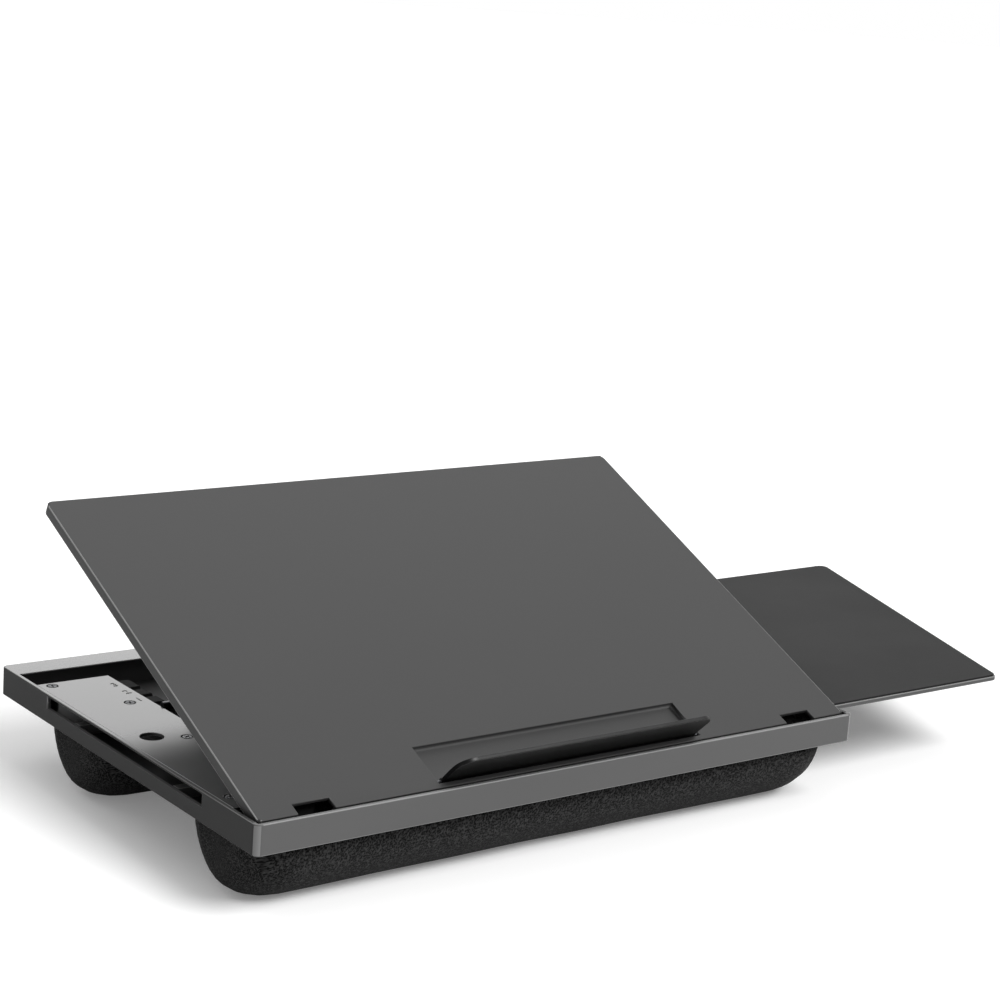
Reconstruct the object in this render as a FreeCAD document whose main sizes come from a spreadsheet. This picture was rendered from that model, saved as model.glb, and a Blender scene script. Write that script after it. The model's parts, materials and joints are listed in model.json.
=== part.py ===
import FreeCAD, Part
import Sketcher
import math
import os
import re

# Lap tray with cushions: a shallow base on two bolsters, a tilting platform held up by a
# folding prop, a flip-up stop lip and a plug-in mouse board. Millimetres, +X right, +Y back, +Z up.
# The origin lies in the middle of the front bolster's resting face.
doc = FreeCAD.newDocument("lap_tray")
Vec = FreeCAD.Vector

# Driving dimensions
SIZES = {
    "base_width": 360, "base_depth": 250, "wall_height": 14.5, "wall": 2.4, "floor_sheet": 2.0,
    "base_corner": 3.5, "rear_rim": 17, "overrun": 5,
    "deck_sheet": 1.6, "deck_drop": 0.4, "deck_margin": 0.3, "deck_front": 24, "trough": 18,
    "well_lead": 7.6, "wing_width": 42,
    "slot_front": 46.5, "slot_back": 52.5, "slot_top": 1.2, "slot_height": 6.0,
    "finger_hole_radius": 5.8, "finger_hole_inset": 16.5,
    "post_radius": 3.4, "screw_shank": 1.3, "screw_fit": 0.1, "screw_head": 2.9, "screw_head_height": 1.0,
    "screw_bite": 7.0, "outer_screw_inset": 9, "tongue_clearance": 2.6, "screw_edge": 4.5,
    "rear_screw_step": 39, "middle_screw_lead": 3, "front_screw_lead": 13,
    "hinge_setback": 13.5, "hinge_rise": 0.3, "hinge_line": 19.0, "hinge_pin_radius": 1.5,
    "hinge_fit": 0.3, "knuckle_radius": 2.8, "knuckle_width": 12.6, "knuckle_inset": 33.5,
    "lug_width": 4.2, "lug_gap": 0.3, "lug_radius": 3.0,
    "bracket_depth": 5.6, "bracket_foot": 13, "bracket_foot_height": 3,
    "platform_side_gap": 3.5, "platform_back_gap": 21, "platform_skirt": 5.5, "platform_sheet": 2.0,
    "platform_wall": 2.0, "platform_corner": 4.0, "platform_front_corner": 1.0, "tilt_angle": 24.2,
    "hinge_notch_width": 19, "hinge_notch_depth": 6.5,
    "prop_reach_share": 0.4393, "prop_axis_rise": 0.3, "prop_side_gap": 1.7, "prop_leg": 14,
    "prop_sheet": 2.4,
    "prop_barrel": 2.9, "prop_pin_radius": 1.4, "prop_pin_length": 24, "prop_lug_width": 5,
    "prop_rail": 13, "foot_radius": 2.2, "foot_gap": 1.5, "foot_clearance": 0.6,
    "rack_back_gap": 19, "notch_pitch": 12.9, "notch_depth": 2.2, "rack_width": 11, "rack_length": 62,
    "rack_lead": 9, "rack_drop": 3.3,
    "lip_width": 153, "lip_height": 21.5, "lip_sheet": 2.0, "lip_sag": 2.0, "lip_corner": 8,
    "lip_angle": 107, "lip_inset": 5.2, "lip_axis_depth": 1.7, "lip_barrel": 1.6, "lip_rod_radius": 0.8,
    "recess_margin": 3.0, "recess_depth": 3.6, "recess_front": 3.0, "recess_length": 24.5,
    "recess_floor": 1.4,
    "tongue_reach": 25.4, "tongue_sheet": 3.4, "tongue_fit": 0.3, "tongue_side_fit": 1.5, "shelf_width": 34,
    "shelf_sheet": 1.8, "stop_gap": 0.3, "rail_width": 5, "rail_share": 0.18,
    "board_width": 136, "board_flare": 88, "board_back": 4.5, "board_front": 20.5, "board_sheet": 2.4,
    "board_corner": 5, "pad_sheet": 0.9, "pad_margin": 0.8, "grip_radius": 4.6, "grip_height": 0.5,
    "cushion_height": 33, "cushion_width": 70, "cushion_side_inset": 6, "cushion_end": 24,
    "end_pinch": 16, "end_lift": 12,
    "front_cushion_inset": 5, "rear_cushion_inset": 35, "cushion_flat": 1.5,
    "backing_sheet": 1.6, "backing_width": 40, "backing_end_gap": 26, "backing_fit": 0.3,
}
# Sizes that follow from the driving ones
DERIVED = {
    "well_half": "(base_width / 2 - wing_width)",
    "well_front": "(hinge_line + prop_reach - well_lead)",
    "deck_back": "(base_depth - rear_rim - trough)",
    "slot_length": "(base_depth - slot_front - slot_back)",
    "knuckle_middle": "(base_width / 2 - knuckle_inset)",
    "platform_width": "(base_width - 2 * platform_side_gap)",
    "platform_depth": "(base_depth - platform_back_gap)",
    "prop_reach": "(platform_depth * prop_reach_share)",
    "prop_width": "(2 * well_half - 2 * deck_margin - 2 * rack_width - 2 * prop_side_gap)",
    "foot_length": "(2 * well_half - 2 * foot_gap)",
    "first_notch": "(base_depth - rear_rim - rack_back_gap - rack_length + rack_lead)",
    "board_depth": "(base_depth - board_front - board_back)",
    "cushion_length": "(base_width - 2 * cushion_side_inset)",
    "backing_length": "(cushion_length - 2 * backing_end_gap)",
    "outer_screw": "(base_width / 2 - outer_screw_inset)",
    "inner_screw": "(base_width / 2 - tongue_reach - tongue_clearance - post_radius)",
    "back_screw": "(deck_back - screw_edge)",
    "rear_screw": "(deck_back - screw_edge - rear_screw_step)",
    "middle_screw": "(well_front + middle_screw_lead)",
    "front_screw": "(deck_front + front_screw_lead)",
}
DECK_SCREW_PLACES = (("outer_screw", "back_screw"), ("inner_screw", "rear_screw"),
                     ("inner_screw", "middle_screw"), ("outer_screw", "front_screw"))

sheet = doc.addObject("Spreadsheet::Sheet", "Sizes")
for row, (alias, size) in enumerate(SIZES.items(), start=1):
    sheet.set(f"A{row}", alias)
    sheet.set(f"B{row}", str(size))
    sheet.setAlias(f"B{row}", alias)
doc.recompute()


def size(alias):
    """A driving dimension as the sheet holds it."""
    return float(sheet.get(alias))


def bound(text):
    """An expression on the sheet from plain size names, with the derived ones written out."""
    word = r"[a-z][a-z_]+"
    while any(name in DERIVED for name in re.findall(word, text)):
        text = re.sub(word, lambda m: DERIVED.get(m[0], m[0]), text)
    return re.sub(word, lambda m: f"Sizes.{m[0]}" if m[0] in SIZES else m[0], text)


# Levels and lines that many pieces share
FRONT = "(-front_cushion_inset - cushion_width / 2)"
BACK = f"({FRONT} + base_depth)"
RIM = "(cushion_height + wall_height)"
FLOOR = "(cushion_height + floor_sheet)"
DECK_TOP = f"({RIM} - deck_drop)"
DECK_UNDER = f"({DECK_TOP} - deck_sheet)"
INNER_HALF = "(base_width / 2 - wall)"
DECK_HALF = f"({INNER_HALF} - deck_margin)"
HINGE_Y = f"({FRONT} + hinge_line)"
HINGE_Z = f"({RIM} + hinge_rise)"
SLOT_LOW = f"({RIM} - slot_top - slot_height)"
SLOT_Y = f"({FRONT} + slot_front)"
SLOT_MIDDLE = f"({SLOT_Y} + slot_length / 2)"
RACK_TOP = f"({DECK_TOP} - rack_drop)"
FOOT_Y = f"({FRONT} + first_notch)"
FOOT_Z = f"({RACK_TOP} + foot_clearance + foot_radius)"
PROP_Y = f"({HINGE_Y} + prop_reach * cos(tilt_angle) - prop_axis_rise * sin(tilt_angle))"
PROP_Z = f"({HINGE_Z} + prop_reach * sin(tilt_angle) + prop_axis_rise * cos(tilt_angle))"
PROP_LENGTH = f"sqrt(({FOOT_Y} - {PROP_Y})^2 + ({FOOT_Z} - {PROP_Z})^2)"
PROP_LEAN = f"atan2({FOOT_Z} - {PROP_Z}; {FOOT_Y} - {PROP_Y})"
PANEL_FRONT = "(-hinge_setback)"
LIP_V = "(platform_skirt - lip_axis_depth)"
LIP_U = f"({PANEL_FRONT} + lip_inset)"
LIP_Y = f"({HINGE_Y} + {LIP_U} * cos(tilt_angle) - {LIP_V} * sin(tilt_angle))"
LIP_Z = f"({HINGE_Z} + {LIP_U} * sin(tilt_angle) + {LIP_V} * cos(tilt_angle))"
SHEET_UNDER = "(platform_skirt - platform_sheet)"
TONGUE_LOW = f"({SLOT_LOW} + tongue_fit)"
BOARD_LOW = f"({TONGUE_LOW} + shelf_sheet)"
BOARD_LEFT = "(base_width / 2 + stop_gap)"
BOARD_FRONT = f"({FRONT} + board_front)"

PLACES = {
    "base": ("0", "0", "0", "0"),
    "platform": ("0", HINGE_Y, HINGE_Z, "tilt_angle"),
    "prop": ("0", PROP_Y, PROP_Z, PROP_LEAN),
    "lip": ("0", LIP_Y, LIP_Z, "tilt_angle + lip_angle"),
}
nodes = {}


def place(obj, group):
    """Seat a sub-part where its group stands: a shift, and a turn about X."""
    obj.Placement = FreeCAD.Placement(Vec(), FreeCAD.Rotation(Vec(1, 0, 0), 1))
    for axis, text in zip("xyz", PLACES[group]):
        obj.setExpression(f"Placement.Base.{axis}", bound(text))
    obj.setExpression("Placement.Rotation.Angle", bound(PLACES[group][3]))


def keep(obj, label, group="base"):
    """Name a finished sub-part and seat it."""
    if group != "base":
        obj = obj if obj.TypeId != "Part::Cylinder" else group_of(obj)
        place(obj, group)
    obj.Label = label
    nodes[label] = obj
    return obj


def block(x, y, z):
    """A box between pairs of bounds."""
    obj = doc.addObject("Part::Box", "block")
    for side, axis, (low, high) in zip(("Length", "Width", "Height"), "xyz", (x, y, z)):
        obj.setExpression(side, bound(f"({high}) - ({low})"))
        obj.setExpression(f"Placement.Base.{axis}", bound(low))
    return obj


def round_bar(radius, start, end, at, axis="x"):
    """A cylinder from start to end along an axis, through the point at on the other two."""
    obj = doc.addObject("Part::Cylinder", "round_bar")
    turn = {"x": FreeCAD.Rotation(Vec(0, 1, 0), 90), "z": FreeCAD.Rotation()}[axis]
    obj.Placement = FreeCAD.Placement(Vec(), turn)
    obj.setExpression("Radius", bound(radius))
    obj.setExpression("Height", bound(f"({end}) - ({start})"))
    spots = (start, at[0], at[1]) if axis == "x" else (at[0], at[1], start)
    for name, text in zip("xyz", spots):
        obj.setExpression(f"Placement.Base.{name}", bound(text))
    return obj


def fuse(*shapes):
    obj = doc.addObject("Part::MultiFuse", "fuse")
    obj.Shapes = list(shapes)
    obj.Refine = True
    return obj


def group_of(*shapes):
    obj = doc.addObject("Part::Compound", "group")
    obj.Links = list(shapes)
    return obj


def cut(base, *tools):
    obj = doc.addObject("Part::Cut", "cut")
    obj.Base = base
    obj.Tool = tools[0] if len(tools) == 1 else fuse(*tools)
    return obj


def mirrored(side, low, high):
    """Bounds across X on the left (-1) or right (1)."""
    return (low, high) if side > 0 else (f"-({high})", f"-({low})")


class Body:
    """A PartDesign body whose sketches are rectangles and circles bound to the sheet."""

    def __init__(self, label):
        self.obj = doc.addObject("PartDesign::Body", label)
        self.label = label
        self.count = 0

    def sketch(self, role, at):
        self.count += 1
        sk = self.obj.newObject("Sketcher::SketchObject", f"{self.label}_sketch{self.count}")
        origin = [f for f in self.obj.Origin.OriginFeatures if f.Role == role][0]
        sk.AttachmentSupport = [(origin, "")]
        sk.MapMode = "FlatFace"
        for axis, text in zip("xyz", at):
            sk.setExpression(f"AttachmentOffset.Base.{axis}", bound(text))
        return sk

    def rectangle(self, role, at, length, width, flare=None):
        """A rectangle, or with a flare a board whose far edge is that much longer."""
        sk = self.sketch(role, at)
        corners = [Vec(0, 0, 0), Vec(1, 0, 0), Vec(1, 1, 0), Vec(0, 1, 0)]
        for i in range(4):
            sk.addGeometry(Part.LineSegment(corners[i], corners[(i + 1) % 4]))
        for i in range(4):
            sk.addConstraint(Sketcher.Constraint("Coincident", i, 2, (i + 1) % 4, 1))
        for i, kind in enumerate(("Horizontal", "Vertical", "Horizontal", "Vertical")):
            if flare is None or i != 1:
                sk.addConstraint(Sketcher.Constraint(kind, i))
        sk.addConstraint(Sketcher.Constraint("Coincident", 0, 1, -1, 1))
        spans = [("DistanceX", 0, 1, 0, 2, length), ("DistanceY", 1, 1, 1, 2, width)]
        if flare is not None:
            spans.append(("DistanceX", 2, 2, 2, 1, f"{length} + {flare}"))
        for *span, text in spans:
            index = sk.addConstraint(Sketcher.Constraint(*span, 1.0))
            sk.setExpression(f"Constraints[{index}]", bound(text))
        return sk

    def circle(self, role, at, radius):
        sk = self.sketch(role, at)
        sk.addGeometry(Part.Circle(Vec(), Vec(0, 0, 1), 1))
        sk.addConstraint(Sketcher.Constraint("Coincident", 0, 3, -1, 1))
        index = sk.addConstraint(Sketcher.Constraint("Radius", 0, 1.0))
        sk.setExpression(f"Constraints[{index}]", bound(radius))
        return sk

    def feature(self, kind, sk, length, backwards=False):
        self.count += 1
        obj = self.obj.newObject(f"PartDesign::{kind}", f"{self.label}_{kind.lower()}{self.count}")
        obj.Profile = sk
        obj.Reversed = backwards
        obj.setExpression("Length", bound(length))
        doc.recompute()
        return obj

    def pad(self, sk, length, backwards=False):
        return self.feature("Pad", sk, length, backwards)

    def pocket(self, sk, length, backwards=False):
        before = self.obj.Shape.Volume
        obj = self.feature("Pocket", sk, length, backwards)
        if self.obj.Shape.Volume >= before:
            raise RuntimeError(f"{obj.Name} cuts nothing")
        return obj

    def round_edges(self, radius, wanted):
        """Fillet the edges of the tip that wanted(edge) picks."""
        tip = self.obj.Tip
        picked = [f"Edge{i}" for i, edge in enumerate(tip.Shape.Edges, start=1) if wanted(edge)]
        obj = self.obj.newObject("PartDesign::Fillet", f"{self.label}_fillet")
        obj.Base = (tip, picked)
        obj.setExpression("Radius", bound(radius))
        doc.recompute()
        return obj


def upright(edge):
    first, last = edge.Vertexes[0].Point, edge.Vertexes[-1].Point
    return (first - last).Length > 0 and abs((first - last).normalize().z) > math.cos(math.radians(1))


def make_lower_shell():
    """Moulded tray: floor, four walls, a wide hollow rear rim, a slot in each side wall and screw posts."""
    shell = Body("lower_shell")
    outer = shell.rectangle("XY_Plane", ("-base_width / 2", FRONT, "cushion_height"),
                            "base_width", "base_depth")
    shell.pad(outer, "wall_height")
    shell.round_edges("base_corner", upright)
    inside = shell.rectangle("XY_Plane", (f"-{INNER_HALF}", f"{FRONT} + wall", RIM),
                             f"2 * {INNER_HALF}", "base_depth - wall - rear_rim")
    shell.pocket(inside, "wall_height - floor_sheet")
    hollow = shell.rectangle("XY_Plane",
                             (f"-{INNER_HALF}", f"{BACK} - rear_rim + wall", "cushion_height"),
                             f"2 * {INNER_HALF}", "rear_rim - 2 * wall")
    shell.pocket(hollow, "wall_height - wall", backwards=True)
    slot = shell.rectangle("YZ_Plane", (SLOT_Y, SLOT_LOW, "base_width / 2 + overrun"),
                           "slot_length", "slot_height")
    shell.pocket(slot, "base_width + 2 * overrun")
    for side in (-1, 1):
        for across, along in DECK_SCREW_PLACES:
            spot = (f"{side} * {across}", f"{FRONT} + {along}")
            shell.pad(shell.circle("XY_Plane", spot + (FLOOR,), "post_radius"), f"{DECK_UNDER} - {FLOOR}")
            bore = shell.circle("XY_Plane", spot + (DECK_UNDER,), "screw_shank + screw_fit")
            shell.pocket(bore, "screw_bite")
    for x, y in backing_screw_spots():
        hole = shell.circle("XY_Plane", (x, y, FLOOR), "screw_shank + screw_fit")
        shell.pocket(hole, "floor_sheet + overrun")
    keep(shell.obj, "lower_shell")


def make_deck():
    """Thin cover flush with the rim, open at the middle of the back for the prop and its racks."""
    deck = Body("deck_plate")
    outline = deck.rectangle("XY_Plane", (f"-{DECK_HALF}", f"{FRONT} + deck_front", DECK_UNDER),
                             f"2 * {DECK_HALF}", "deck_back - deck_front")
    deck.pad(outline, "deck_sheet")
    well = deck.rectangle("XY_Plane", ("-well_half", f"{FRONT} + well_front", DECK_TOP),
                          "2 * well_half", "deck_back - well_front + overrun")
    deck.pocket(well, "deck_sheet + overrun")
    for side in (-1, 1):
        middle = (f"{side} * (base_width / 2 - finger_hole_inset)", SLOT_MIDDLE, DECK_TOP)
        deck.pocket(deck.circle("XY_Plane", middle, "finger_hole_radius"), "deck_sheet + overrun")
        for across, along in DECK_SCREW_PLACES:
            spot = (f"{side} * {across}", f"{FRONT} + {along}", DECK_TOP)
            deck.pocket(deck.circle("XY_Plane", spot, "screw_shank + screw_fit"), "deck_sheet + overrun")
            deck.pocket(deck.circle("XY_Plane", spot, "screw_head + screw_fit"), "screw_head_height")
    keep(deck.obj, "deck_plate")
    screws = []
    for side in (-1, 1):
        for across, along in DECK_SCREW_PLACES:
            at = (f"{side} * {across}", f"{FRONT} + {along}")
            seat = f"{DECK_TOP} - screw_head_height"
            screws.append(screw(at, seat, f"{DECK_UNDER} - screw_bite + screw_fit"))
    keep(group_of(*screws), "deck_screws")


def screw(at, seat, tip):
    """Pan-head screw pointing down: the head sits on seat and the shank ends at tip."""
    head = round_bar("screw_head", seat, f"{seat} + screw_head_height", at, "z")
    return fuse(head, round_bar("screw_shank", tip, f"{seat} + screw_head_height / 2", at, "z"))


def make_racks():
    """Toothed racks on the floor beside the deck's wings, which hold the prop's foot."""
    for side, label in ((-1, "left_rack"), (1, "right_rack")):
        low, high = mirrored(side, "well_half - deck_margin - rack_width", "well_half - deck_margin")
        start = f"{FOOT_Y} - rack_lead"
        bar = block((low, high), (start, f"{start} + rack_length"), (FLOOR, RACK_TOP))
        notches = []
        for step in range(NOTCHES):
            notch = doc.addObject("Part::Box", "notch")
            notch.Placement = FreeCAD.Placement(Vec(), FreeCAD.Rotation(Vec(1, 0, 0), 45))
            notch.setExpression("Length", bound("rack_width + 2 * overrun"))
            for edge in ("Width", "Height"):
                notch.setExpression(edge, bound("notch_depth * 2"))
            notch.setExpression("Placement.Base.x", bound(f"{low} - overrun"))
            notch.setExpression("Placement.Base.y", bound(f"{FOOT_Y} + {step} * notch_pitch"))
            notch.setExpression("Placement.Base.z", bound(f"{RACK_TOP} - notch_depth"))
            notches.append(notch)
        keep(cut(bar, *notches), label)


def make_hinges():
    """Two hinges at the front: a bracket on the floor, a pin, and a pair of lugs under the platform."""
    for side, name in ((-1, "left"), (1, "right")):
        low, high = mirrored(side, "knuckle_middle - knuckle_width / 2",
                             "knuckle_middle + knuckle_width / 2")
        post = block((low, high), (f"{HINGE_Y} - bracket_depth / 2", f"{HINGE_Y} + bracket_depth / 2"),
                     (FLOOR, HINGE_Z))
        foot = block((low, high), (f"{HINGE_Y} - bracket_foot / 2", f"{HINGE_Y} + bracket_foot / 2"),
                     (FLOOR, f"{FLOOR} + bracket_foot_height"))
        knuckle = round_bar("knuckle_radius", low, high, (HINGE_Y, HINGE_Z))
        line = (HINGE_Y, HINGE_Z)
        bore = round_bar("hinge_pin_radius", f"{low} - overrun", f"{high} + overrun", line)
        keep(cut(fuse(post, foot, knuckle), bore), f"{name}_hinge_bracket")
        outside = (f"{low} - lug_gap - lug_width", f"{high} + lug_gap + lug_width")
        pin = round_bar("hinge_pin_radius", *outside, line)
        keep(pin, f"{name}_hinge_pin")
        eye = ("0", "0", "lug_radius", "hinge_pin_radius")
        lugs = [lug(outside[0], f"{low} - lug_gap", *eye), lug(f"{high} + lug_gap", outside[1], *eye)]
        keep(group_of(*lugs), f"{name}_hinge_lugs", "platform")


def lug(low, high, along, rise, radius, pin):
    """An eye that hangs from the platform's underside round a pin."""
    stem = block((low, high), (f"{along} - {radius}", f"{along} + {radius}"), (rise, SHEET_UNDER))
    eye = round_bar(radius, low, high, (along, rise))
    bore = round_bar(f"{pin} + hinge_fit", f"{low} - overrun", f"{high} + overrun", (along, rise))
    return cut(fuse(stem, eye), bore)


def make_platform():
    """Shallow inverted pan with a notch before each hinge and a recess for the stop lip."""
    panel = Body("platform_panel")
    outline = panel.rectangle("XY_Plane", ("-platform_width / 2", PANEL_FRONT, "0"),
                              "platform_width", "platform_depth")
    panel.pad(outline, "platform_skirt")
    panel.round_edges("platform_corner", lambda edge: upright(edge) and edge.CenterOfMass.y > 0)
    panel.round_edges("platform_front_corner", lambda edge: upright(edge) and edge.CenterOfMass.y < 0)
    corner = ("-platform_width / 2 + platform_wall", f"{PANEL_FRONT} + platform_wall", "0")
    inside = panel.rectangle("XY_Plane", corner,
                             "platform_width - 2 * platform_wall", "platform_depth - 2 * platform_wall")
    panel.pocket(inside, SHEET_UNDER, backwards=True)
    half = "(lip_width / 2 + recess_margin)"
    bottom = "(platform_skirt - recess_depth - recess_floor)"
    start = f"({PANEL_FRONT} + recess_front)"
    tray = panel.rectangle("XY_Plane", (f"-{half} - platform_wall", f"{start} - platform_wall", bottom),
                           f"2 * {half} + 2 * platform_wall", "recess_length + 2 * platform_wall")
    panel.pad(tray, f"{SHEET_UNDER} - {bottom}")
    recess = panel.rectangle("XY_Plane", (f"-{half}", start, "platform_skirt"),
                             f"2 * {half}", "recess_length")
    panel.pocket(recess, "recess_depth")
    for side in (-1, 1):
        corner = (f"{side} * knuckle_middle - hinge_notch_width / 2", f"{PANEL_FRONT} - overrun",
                  "platform_skirt")
        notch = panel.rectangle("XY_Plane", corner, "hinge_notch_width", "hinge_notch_depth + overrun")
        panel.pocket(notch, "platform_skirt + overrun")
    keep(panel.obj, "platform_panel", "platform")


def make_prop():
    """Folding frame under the platform with a steel foot rod, hung on two short pins."""
    half = "prop_width / 2"
    plate = block((f"-{half}", half), ("0", PROP_LENGTH), ("-prop_sheet / 2", "prop_sheet / 2"))
    window = block((f"-{half} + prop_leg", f"{half} - prop_leg"), ("prop_rail", f"{PROP_LENGTH} - prop_rail"),
                   ("-prop_sheet", "prop_sheet"))
    barrels = []
    bores = []
    for side, name in ((-1, "left"), (1, "right")):
        low, high = mirrored(side, f"{half} - prop_pin_length / 2", half)
        barrels.append(round_bar("prop_barrel", low, high, ("0", "0")))
        bores.append(round_bar("prop_pin_radius", f"{low} - overrun", f"{high} + overrun", ("0", "0")))
        inner, outer = mirrored(side, f"{half} + lug_gap", f"{half} + lug_gap + prop_lug_width")
        keep(lug(inner, outer, "prop_reach", "prop_axis_rise", "prop_barrel", "prop_pin_radius"),
             f"{name}_prop_lug", "platform")
        start, end = mirrored(side, f"{half} - prop_pin_length / 2", f"{half} + lug_gap + prop_lug_width")
        keep(round_bar("prop_pin_radius", start, end, ("0", "0")), f"{name}_prop_pin", "prop")
    seat = round_bar("foot_radius", "-foot_length / 2", "foot_length / 2", (PROP_LENGTH, "0"))
    keep(cut(fuse(plate, *barrels), window, seat, *bores), "prop_frame", "prop")
    rod = round_bar("foot_radius", "-foot_length / 2", "foot_length / 2", (PROP_LENGTH, "0"))
    keep(rod, "prop_foot_rod", "prop")


def make_lip():
    """Curved stop flap on a thin rod across the recess in the platform."""
    width, height, sheet_half = size("lip_width"), size("lip_height"), size("lip_sheet") / 2
    sag = size("lip_sag")
    low = [Vec(0, y, z - sheet_half) for y, z in ((0, 0), (height / 2, sag / 4), (height, sag))]
    high = [point + Vec(0, 0, 2 * sheet_half) for point in low]
    edges = [Part.Arc(*low).toShape(), Part.LineSegment(low[2], high[2]).toShape(),
             Part.Arc(*high).toShape(), Part.LineSegment(low[0], high[0]).toShape()]
    flap = Part.Face(Part.Wire(Part.__sortEdges__(edges))).extrude(Vec(width, 0, 0))
    tips = [edge for edge in flap.Edges if all(abs(v.Y - height) < sheet_half / 2 for v in edge.Vertexes)
            and abs(edge.Vertexes[0].X - edge.Vertexes[-1].X) < sheet_half / 2]
    flap = flap.makeFillet(size("lip_corner"), tips)
    barrel = Part.makeCylinder(size("lip_barrel"), width, Vec(0, 0, 0), Vec(1, 0, 0))
    bore = Part.makeCylinder(size("lip_rod_radius") + size("hinge_fit"), width, Vec(0, 0, 0), Vec(1, 0, 0))
    lip = doc.addObject("Part::Feature", "lip")
    lip.Shape = flap.fuse(barrel).cut(bore).translated(Vec(-width / 2, 0, 0)).removeSplitter()
    keep(lip, "stop_lip", "lip")
    half = "(lip_width / 2 + recess_margin)"
    keep(round_bar("lip_rod_radius", f"-{half}", half, (LIP_U, LIP_V)), "lip_rod", "platform")


def make_mouse_board():
    """Plug-in board: a tongue bracket that enters the right slot, a stiff sheet and a pad skin."""
    near, far = f"{SLOT_Y} + tongue_side_fit", f"{SLOT_Y} + slot_length - tongue_side_fit"
    tongue = block(("base_width / 2 - tongue_reach", BOARD_LEFT), (near, far),
                   (TONGUE_LOW, f"{TONGUE_LOW} + tongue_sheet"))
    shelf = block((f"{BOARD_LEFT} - tongue_sheet", f"{BOARD_LEFT} + shelf_width"), (near, far),
                  (TONGUE_LOW, BOARD_LOW))
    grip = round_bar("grip_radius", f"{TONGUE_LOW} + tongue_sheet / 2",
                     f"{TONGUE_LOW} + tongue_sheet + grip_height",
                     ("base_width / 2 - finger_hole_inset", SLOT_MIDDLE), "z")
    screws = []
    holes = []
    for share in BOARD_SCREW_SHARES:
        at = (f"{BOARD_LEFT} + shelf_width / 2", f"{SLOT_Y} + slot_length * {share}")
        end = f"{BOARD_LOW} + board_sheet / 2"
        head = round_bar("screw_head", f"{TONGUE_LOW} - screw_head_height", TONGUE_LOW, at, "z")
        shank = round_bar("screw_shank", f"{TONGUE_LOW} - screw_head_height / 2", end, at, "z")
        screws.append(fuse(head, shank))
        wall = ("screw_shank + screw_fit", f"{TONGUE_LOW} - screw_fit", f"{end} + screw_fit", at, "z")
        holes.append([round_bar(*wall) for piece in range(2)])
    keep(cut(fuse(tongue, shelf, grip), *[pair[0] for pair in holes]), "board_tongue")
    board = Body("board_sheet_body")
    outline = board.rectangle("XY_Plane", (BOARD_LEFT, BOARD_FRONT, BOARD_LOW),
                              "board_width", "board_depth", "board_flare")
    board.pad(outline, "board_sheet")
    board.round_edges("board_corner", upright)
    keep(cut(board.obj, *[pair[1] for pair in holes]), "mouse_board")
    pad = Body("mouse_pad")
    corner = (f"{BOARD_LEFT} + pad_margin", f"{BOARD_FRONT} + pad_margin", f"{BOARD_LOW} + board_sheet")
    slant = "pad_margin * sqrt(1 + (board_flare / board_depth)^2)"
    lean = "(board_flare / board_depth)"
    skin = pad.rectangle("XY_Plane", corner, f"board_width - pad_margin - {slant} + {lean} * pad_margin",
                         "board_depth - 2 * pad_margin", f"{lean} * (board_depth - 2 * pad_margin)")
    pad.pad(skin, "pad_sheet")
    pad.round_edges("board_corner - pad_margin", upright)
    keep(pad.obj, "mouse_pad")
    keep(group_of(*screws), "board_screws")


def make_tongue_rails():
    """Ribs on the floor behind each side slot, which carry the tongue of the mouse board."""
    rails = []
    for side in (-1, 1):
        span = mirrored(side, "base_width / 2 - tongue_reach", INNER_HALF)
        for share in ("rail_share", "(1 - rail_share)"):
            middle = f"({SLOT_Y} + slot_length * {share})"
            sides = (f"{middle} - rail_width / 2", f"{middle} + rail_width / 2")
            rails.append(block(span, sides, (FLOOR, SLOT_LOW)))
    keep(group_of(*rails), "tongue_rails")


def cushion_middle(name):
    """Where a bolster's long axis lies along Y."""
    return {"front": "(0 * cushion_width)",
            "rear": f"({BACK} - rear_cushion_inset - cushion_width / 2)"}[name]


def backing_screw_spots():
    """Screws from the floor into the two backing boards."""
    return [(f"{side} * backing_length * {BACKING_SCREW_SHARE}",
             f"{cushion_middle(name)} + {way} * backing_width / 4")
            for name in ("front", "rear") for side in (-1, 1) for way in (-1, 1)]


def bolster_section(x, half, depth):
    """One slice of a bolster: flat top, rounded flanks and a gently crowned underside."""
    flank_end = Vec(x, half * FLANK_SHARES[0], -depth * FLANK_SHARES[1])
    flank_mid = Vec(x, half * FLANK_MID_SHARES[0], -depth * FLANK_MID_SHARES[1])
    swap = lambda p: Vec(p.x, -p.y, p.z)
    left, right = Vec(x, -half, 0), Vec(x, half, 0)
    edges = [Part.LineSegment(left, right).toShape(),
             Part.Arc(right, flank_mid, flank_end).toShape(),
             Part.Arc(flank_end, Vec(x, 0, -depth), swap(flank_end)).toShape(),
             Part.Arc(swap(flank_end), swap(flank_mid), left).toShape()]
    return Part.Wire(edges)


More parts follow.
